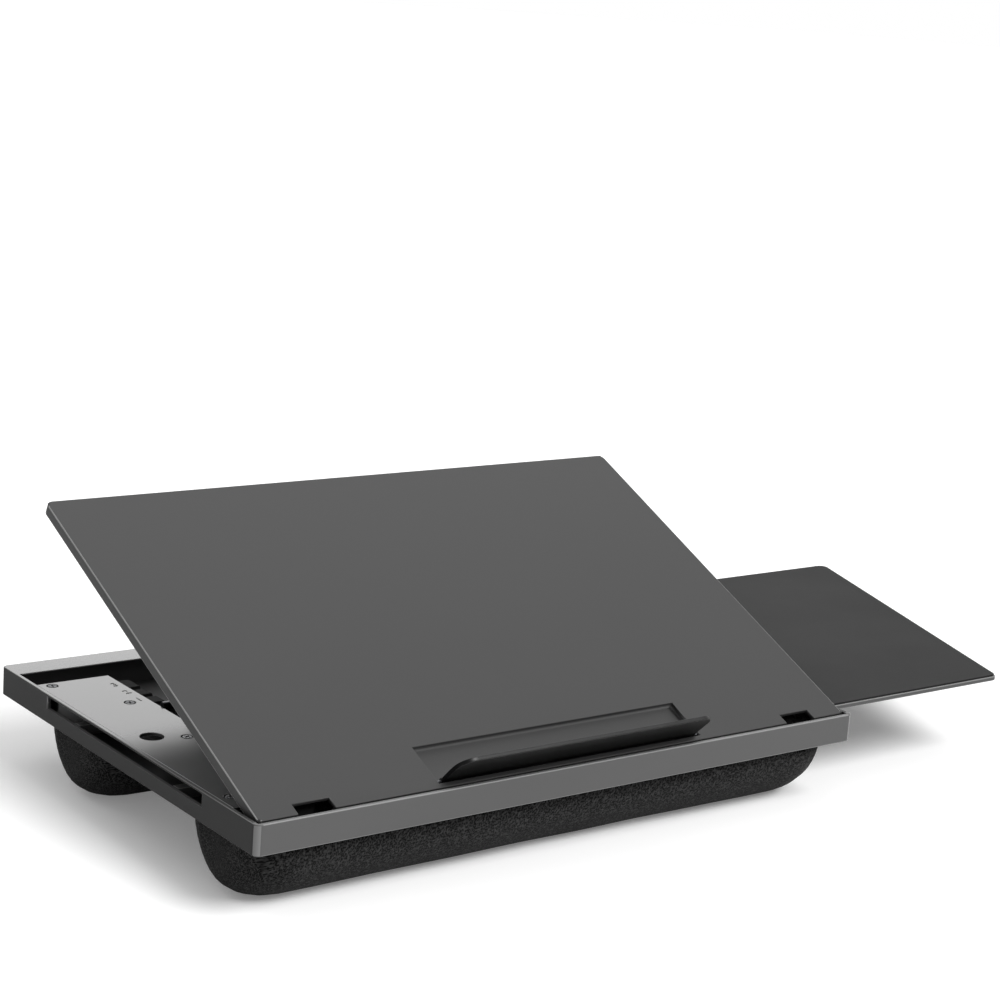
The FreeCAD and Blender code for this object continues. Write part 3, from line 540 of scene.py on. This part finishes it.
lip_flap = put("lip_flap", lip_sheet())
lip_flap.data.materials.append(lip_gloss)
thick = lip_flap.modifiers.new("thickness", "SOLIDIFY")
thick.thickness = LIP["sheet"]
thick.offset = 0.0
ease = lip_flap.modifiers.new("eased_edges", "BEVEL")
ease.width = 0.3 * MM
ease.segments = 3
ease.limit_method = "ANGLE"
ease.angle_limit = math.radians(50)
ease.use_clamp_overlap = True
smooth(lip_flap.data)
baked(lip_flap)
print("lip sheet:", len(lip_flap.data.polygons), "faces")

# %% Hang the lip on its rod
LIP_AXIS = Vector(joints["lip_flip"]["pos_m"])
LIP_RISE = math.radians(107)  # from the platform, with the lip raised
BARREL_RADIUS = 1.6 * MM
barrel = bmesh.new()
bmesh.ops.create_cone(barrel, cap_ends=True, segments=40, radius1=BARREL_RADIUS, radius2=BARREL_RADIUS,
                      depth=LIP["width"])
bmesh.ops.rotate(barrel, verts=barrel.verts, matrix=Matrix.Rotation(math.pi / 2, 3, "Y"))
barrel.from_mesh(lip_flap.data)
raised = Matrix.Translation(LIP_AXIS) @ Matrix.Rotation(TILT + LIP_RISE, 4, "X")
bmesh.ops.transform(barrel, verts=barrel.verts, matrix=raised)
for face in barrel.faces:
    face.smooth = True
barrel.to_mesh(lip_flap.data)
barrel.free()
seat(lip_flap, "stop_lip", "lip_plastic", "stop_lip")
print("lip with its barrel:", len(lip_flap.data.polygons), "faces")

# %% [markdown]
# ## Screws
# Eight screws hold the deck, eight hold the bolsters and four hold the side board. They are all one
# shape, so a Geometry Nodes tree turns a chamfered head, cuts a cross into it and sets a copy on
# each point, turned by a seeded angle, because no two screws stop at the same place.

# %% A tree that drives screws
HEAD_HEIGHT = 1.0 * MM
SCREW_SIZES = {"Head Radius": 2.9 * MM, "Head Height": HEAD_HEIGHT, "Cross Width": 0.8 * MM}
CROWN, ARM, RAISE = 0.74, 1.15, 0.8  # the top's radius, the cross's length and its lift, as shares
STAGGER = 0.03 * MM  # one bar of the cross lies a hair higher, so that no two faces coincide


def screw_tree():
    tree = bpy.data.node_groups.new("screw_heads", "GeometryNodeTree")
    panel = tree.interface
    panel.new_socket("Geometry", in_out="INPUT", socket_type="NodeSocketGeometry")
    for label, start in SCREW_SIZES.items():
        panel.new_socket(label, in_out="INPUT", socket_type="NodeSocketFloat").default_value = start
    panel.new_socket("Tip Over", in_out="INPUT", socket_type="NodeSocketFloat")
    panel.new_socket("Finish", in_out="INPUT", socket_type="NodeSocketMaterial")
    panel.new_socket("Geometry", in_out="OUTPUT", socket_type="NodeSocketGeometry")
    given = add(tree, "NodeGroupInput")
    radius, height, width = (given.outputs[label] for label in SCREW_SIZES)
    crown = add(tree, "ShaderNodeMath", {0: radius, 1: CROWN}, operation="MULTIPLY")
    head = add(tree, "GeometryNodeMeshCone",
               {"Vertices": 28, "Radius Top": crown.outputs[0], "Radius Bottom": radius, "Depth": height})
    arm = add(tree, "ShaderNodeMath", {0: radius, 1: ARM}, operation="MULTIPLY")
    bar = add(tree, "ShaderNodeCombineXYZ", {0: arm.outputs[0], 1: width, 2: height})
    across = add(tree, "GeometryNodeMeshCube", {"Size": bar.outputs[0]})
    rise = add(tree, "ShaderNodeMath", {0: height, 1: RAISE}, operation="MULTIPLY")
    lift = add(tree, "ShaderNodeCombineXYZ", {2: rise.outputs[0]})
    first = add(tree, "GeometryNodeTransform",
                {"Geometry": across.outputs[0], "Translation": lift.outputs[0]})
    second = add(tree, "GeometryNodeTransform",
                 {"Geometry": first.outputs[0], "Rotation": (0, 0, math.pi / 2),
                  "Translation": (0, 0, STAGGER)})
    crossed = add(tree, "GeometryNodeMeshBoolean",
                  {0: head.outputs[0], 1: first.outputs[0]}, operation="DIFFERENCE")
    tree.links.new(second.outputs[0], crossed.inputs[1])
    turn = add(tree, "FunctionNodeRandomValue",
               {1: (0.0, 0.0, 6.28), "Seed": 7}, data_type="FLOAT_VECTOR")
    tip = add(tree, "ShaderNodeCombineXYZ", {0: given.outputs["Tip Over"]})
    spin = add(tree, "ShaderNodeVectorMath", {0: turn.outputs[0], 1: tip.outputs[0]}, operation="ADD")
    driven = add(tree, "GeometryNodeInstanceOnPoints",
                 {"Points": given.outputs[0], "Instance": crossed.outputs[0], "Rotation": spin.outputs[0]})
    solid = add(tree, "GeometryNodeRealizeInstances", {"Geometry": driven.outputs[0]})
    coated = add(tree, "GeometryNodeSetMaterial",
                 {"Geometry": solid.outputs[0], "Material": given.outputs["Finish"]})
    add(tree, "NodeGroupOutput", {"Geometry": coated.outputs[0]})
    return tree


heads = screw_tree()
print("screw tree made:", len(heads.nodes), "nodes")

# %% [markdown]
# ## Where the screws stand
# Each solid of screws holds several loose ones. Walking along the edges from a corner gives all the
# corners of one screw, and their box gives its axis and the seat under its head. A screw's number
# in its row decides how far its head is turned, so the rows are sorted by place.

# %% Find the screws
def loose_parts(node):
    """The corners of each loose part of a solid."""
    cell = bmesh.new()
    cell.from_mesh(frame["nodes"][node].data)
    bmesh.ops.remove_doubles(cell, verts=cell.verts, dist=MERGE)
    parts, met = [], set()
    for start in cell.verts:
        if start in met:
            continue
        met.add(start)
        part = [start]
        for vert in part:
            fresh = [line.other_vert(vert) for line in vert.link_edges]
            fresh = [other for other in fresh if other not in met]
            met.update(fresh)
            part += fresh
        parts.append([vert.co.copy() for vert in part])
    cell.free()
    return parts


def screw_spots(node, head_down, from_back):
    """Each screw's seat, on its axis: the left side first, each side from its front or its back."""
    spots = []
    for part in loose_parts(node):
        x, y, z = ((min(values), max(values)) for values in zip(*part))
        seat_z = z[0] + HEAD_HEIGHT if head_down else z[1] - HEAD_HEIGHT
        spots.append((sum(x) / 2, sum(y) / 2, seat_z))
    way = -1 if from_back else 1
    return sorted(spots, key=lambda spot: (spot[0] > 0, way * spot[1]))


# %% Drive the screws
def drive(name, body, node, head_down=False, from_back=False):
    """One screw head on each seat; a head that looks down is tipped over."""
    spots = screw_spots(node, head_down, from_back)
    mesh = bpy.data.meshes.new(name)
    mesh.from_pydata(spots, [], [])
    row = put(name, mesh)
    nodes = row.modifiers.new("heads", "NODES")
    nodes.node_group = heads
    keys = {item.name: item.identifier for item in heads.interface.items_tree if item.in_out == "INPUT"}
    nodes[keys["Tip Over"]] = math.pi if head_down else 0.0
    nodes[keys["Finish"]] = black_steel
    baked(row)
    seat(row, body, "dark_steel", node)
    print(name, len(spots), "screws,", len(row.data.polygons), "faces")


drive("deck_screw_heads", "base", "deck_screws", from_back=True)
drive("bolster_screw_heads", "base", "backing_screws")
drive("board_screw_heads", "mouse_board", "board_screws", head_down=True)

# %% [markdown]
# ## Notch numbers
# Beside each rack, small raised numbers tell the tilt steps apart. They are text turned into a
# mesh: a fifth of a millimetre high, all in the shell's pale finish for edges, a painted highlight.

# %% Raise the numbers
NUMBER_SIZE, NUMBER_RELIEF = 7 * MM, 0.2 * MM
NUMBER_GAP, NOTCH_PITCH = 4.5, 12.9  # from the rack to a number's middle, and from notch to notch
deck_top = corners_mm("deck_plate")[1].z
number_x = corners_mm("right_rack")[1].x + NUMBER_GAP
foot_y = sum(corner.y for corner in corners_mm("prop_foot_rod")) / 2


def raised_number(text, x, y):
    name = "notch_number_" + text + ("_left" if x < 0 else "_right")
    letter = bpy.data.curves.new("notch_number", "FONT")
    letter.body = text
    letter.size = NUMBER_SIZE
    letter.extrude = NUMBER_RELIEF
    letter.align_x = letter.align_y = "CENTER"
    draft = put(name, letter)
    graph = bpy.context.evaluated_depsgraph_get()
    mesh = bpy.data.meshes.new_from_object(draft.evaluated_get(graph))
    bpy.data.objects.remove(draft)
    mesh.transform(Matrix.Translation(Vector((x, y, deck_top)) * MM))
    mesh.materials.clear()
    # The whole number takes the pale finish: a painted highlight.
    mesh.materials.append(shell_highlight_abs)
    return put(name, mesh)


for side in (-1, 1):
    for step in (1, 2, 3):
        seat(raised_number(str(step), side * number_x, foot_y + step * NOTCH_PITCH), "base", "deck_plastic")
print("numbers raised beside both racks")

# %% [markdown]
# ## Bolsters
# A bolster is a foam core in a cloth cover, pulled up under the base. Its solid gives the form. A
# copy is remeshed to even cloth and drawn in by a millimetre, its top is pinned, and air pressure
# swells it as foam does. Then the cloth is brought back to the form: nowhere thinner, and nowhere
# more than a little fuller. The floor and the base stop it.

# %% Cut and stuff a cover
BASE_UNDER = shell_low.z * MM
NET = 4 * MM
STAPLED = 2.5 * MM  # the cover is held this far below the base
DRAWN_IN = 1.0 * MM
STUFFING_FRAMES = 20


def even_cloth(node, name):
    """The solid's surface as an even net of small squares."""
    mesh = frame["nodes"][node].data.copy()
    cell = bmesh.new()
    cell.from_mesh(mesh)
    bmesh.ops.remove_doubles(cell, verts=cell.verts, dist=MERGE)
    form = BVHTree.FromBMesh(cell)
    cell.to_mesh(mesh)
    cell.free()
    piece = put(name, mesh)
    net = piece.modifiers.new("even_cloth", "REMESH")
    net.mode = "VOXEL"
    net.voxel_size = NET
    return baked(piece), form


def stuffed(piece):
    """Air pressure in the cover for a few frames, with the stapled top held."""
    low = BASE_UNDER - STAPLED
    for vert in piece.data.vertices:
        if vert.co.z < low:
            vert.co -= vert.normal * DRAWN_IN
    pinned = piece.vertex_groups.new(name="stapled_top")
    pinned.add([vert.index for vert in piece.data.vertices if vert.co.z > low], 1.0, "REPLACE")
    cloth = piece.modifiers.new("stuffing", "CLOTH")
    cloth.settings.quality = 6
    cloth.settings.mass = 0.25
    cloth.settings.tension_stiffness = cloth.settings.compression_stiffness = 20
    cloth.settings.shear_stiffness = 8
    cloth.settings.bending_stiffness = 0.4
    cloth.settings.use_pressure = True
    cloth.settings.uniform_pressure_force = 4
    cloth.settings.vertex_group_mass = "stapled_top"
    cloth.settings.effector_weights.gravity = 0
    cloth.point_cache.frame_start, cloth.point_cache.frame_end = 1, STUFFING_FRAMES
    for step in range(1, STUFFING_FRAMES + 1):
        scene.frame_set(step)
    baked(piece)
    scene.frame_set(1)
    piece.vertex_groups.clear()


# %% Settle the cloth and lay its threads
LEAST_PROUD, MOST_PROUD = 0.1 * MM, 1.5 * MM
RIPPLE, RIPPLES_PER_M = 0.6 * MM, 26
CORE_DROP = 12 * MM  # the core's middle lies this far below the base
GIRTH_RADIUS = 27 * MM
CAP_START, CAP_LENGTH, CAP_REACH = 152 * MM, 20 * MM, 26 * MM


def settle(piece, form):
    """Smooth the net, then hold the cloth between the form and a little more than the form."""
    finer = piece.modifiers.new("smooth_cloth", "SUBSURF")
    finer.levels = finer.render_levels = 1
    baked(piece)
    for vert in piece.data.vertices:
        near, out, _, _ = form.find_nearest(vert.co)
        ripple = (0.5 + 0.5 * noise.noise(near * RIPPLES_PER_M)) * RIPPLE
        proud = min(MOST_PROUD, max(LEAST_PROUD, (vert.co - near).dot(out))) + ripple
        if out.z < FACES_UP:
            vert.co = near + out * proud
        vert.co.z = max(0.0, min(BASE_UNDER, vert.co.z))
    piece.data.update()


def lay_cloth(piece, middle_y):
    """A map in metres: along the bolster, and round it; at the ends it turns in over the cap."""
    layer = piece.data.uv_layers.new(name="cloth")
    core = Vector((0, middle_y, BASE_UNDER - CORE_DROP))
    for loop in piece.data.loops:
        spot = piece.data.vertices[loop.vertex_index].co
        out = Vector((0, spot.y - core.y, spot.z - core.z))
        cap = min(1.0, max(0.0, (abs(spot.x) - CAP_START) / CAP_LENGTH))
        along = spot.x + math.copysign(cap * (CAP_REACH - out.length), spot.x)
        layer.data[loop.index].uv = (along, GIRTH_RADIUS * math.atan2(out.y, -out.z))


# %% Seat both bolsters
for name, node in (("front_bolster", "front_cushion"), ("rear_bolster", "rear_cushion")):
    piece, form = even_cloth(node, name)
    stuffed(piece)
    settle(piece, form)
    smooth(piece.data)
    lay_cloth(piece, sum(corner.y for corner in corners_mm(node)) / 2 * MM)
    piece.data.materials.clear()
    piece.data.materials.append(heather)
    seat(piece, "base", "cushion_cloth", node)
    print(name, len(piece.data.polygons), "faces")

# %% [markdown]
# ## Floor
# The tray stands on a pale studio floor. The floor runs so far back that no horizon shows. It is
# drawn whiter for the camera and for reflections than for the light that it throws back, as paper
# looks in a picture that is exposed for a dark object.

# %% Studio floor
REACH = 30.0
CAMERA_GLOW = 0.17
floor_corners = [(-REACH, -REACH, 0), (REACH, -REACH, 0), (REACH, REACH, 0), (-REACH, REACH, 0)]
floor_mesh = bpy.data.meshes.new("studio_floor")
floor_mesh.from_pydata(floor_corners, [], [(0, 1, 2, 3)])
studio_floor = put("studio_floor", floor_mesh)
paper, tree, shader, _ = new_finish("backdrop_paper")
seen = add(tree, "ShaderNodeLightPath")
plain_view = add(tree, "ShaderNodeMath",
                 {0: seen.outputs["Is Camera Ray"], 1: seen.outputs["Is Glossy Ray"]},
                 operation="MAXIMUM")
white = add(tree, "ShaderNodeMix",
            {0: plain_view.outputs[0], 6: chart("b4b4b4"), 7: chart("f2f2f2")}, data_type="RGBA")
glow = add(tree, "ShaderNodeMath",
           {0: seen.outputs["Is Camera Ray"], 1: CAMERA_GLOW}, operation="MULTIPLY")
feed(tree, shader, {
    "Base Color": white.outputs[2], "Roughness": 0.9, "Specular IOR Level": 0.0,
    "Emission Color": (1, 1, 1, 1), "Emission Strength": glow.outputs[0]})
floor_mesh.materials.append(paper)
print("floor laid,", 2 * REACH, "m wide")

# %% [markdown]
# ## Light
# The studio is white to the camera and dimmer as a lamp. A dark flag stands at the left, so glossy
# faces that look that way stay dark. The lamps are suns, because the whole floor then gets the same
# light: a wide key from the front right, and weaker fills from above and behind.

# %% World and lamps
ROOM_LIGHT, FLAG_LIGHT = 0.38, 0.2
FLAG_FROM, FLAG_TO = -0.55, 0.1  # the flag fades out between these, from left to right
world = bpy.data.worlds.new("studio_white")
scene.world = world
world.use_nodes = True
tree = world.node_tree
seen = add(tree, "ShaderNodeLightPath")
ray = add(tree, "ShaderNodeSeparateXYZ", {0: add(tree, "ShaderNodeTexCoord").outputs["Generated"]})
flag = add(tree, "ShaderNodeMapRange",
           {0: ray.outputs[0], 1: FLAG_FROM, 2: FLAG_TO, 3: FLAG_LIGHT, 4: 1.0},
           interpolation_type="SMOOTHSTEP")
room = add(tree, "ShaderNodeMix",
           {0: seen.outputs["Is Glossy Ray"], 2: ROOM_LIGHT, 3: flag.outputs[0]})
clear = add(tree, "ShaderNodeMath",
            {0: seen.outputs["Is Camera Ray"], 1: seen.outputs["Is Transmission Ray"]},
            operation="MAXIMUM")
brightest = add(tree, "ShaderNodeMath", {0: clear.outputs[0], 1: room.outputs[0]}, operation="MAXIMUM")
feed(tree, tree.nodes["Background"], {"Color": (1, 1, 1, 1), "Strength": brightest.outputs[0]})


def soft_sun(name, towards, spread, strength):
    """A lamp far away in one direction; its spread in degrees softens its shadows."""
    lamp = bpy.data.lights.new(name, "SUN")
    lamp.angle = math.radians(spread)
    lamp.energy = strength
    lamp_object = put(name, lamp)
    lamp_object.rotation_euler = (-Vector(towards)).to_track_quat("-Z", "Y").to_euler()


soft_sun("front_right_light", (0.26, -0.61, 0.75), spread=32, strength=2.9)
soft_sun("top_light", (0.15, 0.0, 1.0), spread=80, strength=0.2)
soft_sun("back_light", (0.48, 0.81, 0.36), spread=50, strength=0.2)
soft_sun("rear_fill", (0.1, 0.75, 0.55), spread=80, strength=1.0)
print("lamps set:", len(bpy.data.lights))

# %% [markdown]
# ## Camera
# The camera stands where the edges of the tray run as they do in the picture: at the front left, a
# little above the tray. Its three directions and its place are the columns of its matrix.

# %% Set up the camera
camera_data = bpy.data.cameras.new("photo_camera")
camera_data.lens = 82.302
camera_data.sensor_width = 36.0
camera_data.sensor_fit = "HORIZONTAL"
camera = put("photo_camera", camera_data)
RIGHT, UP, BACK = (0.79594, -0.60108, 0.07177), (0.07600, 0.21683, 0.97323), (-0.60057, -0.76920, 0.21827)
STANDS = (-0.6698, -0.8181, 0.4013)
camera.matrix_world = Matrix((*zip(RIGHT, UP, BACK, STANDS), (0, 0, 0, 1)))
scene.camera = camera
scene.view_settings.view_transform = "Standard"
print("camera", round(Vector(STANDS).length, 2), "m from the tray's origin")
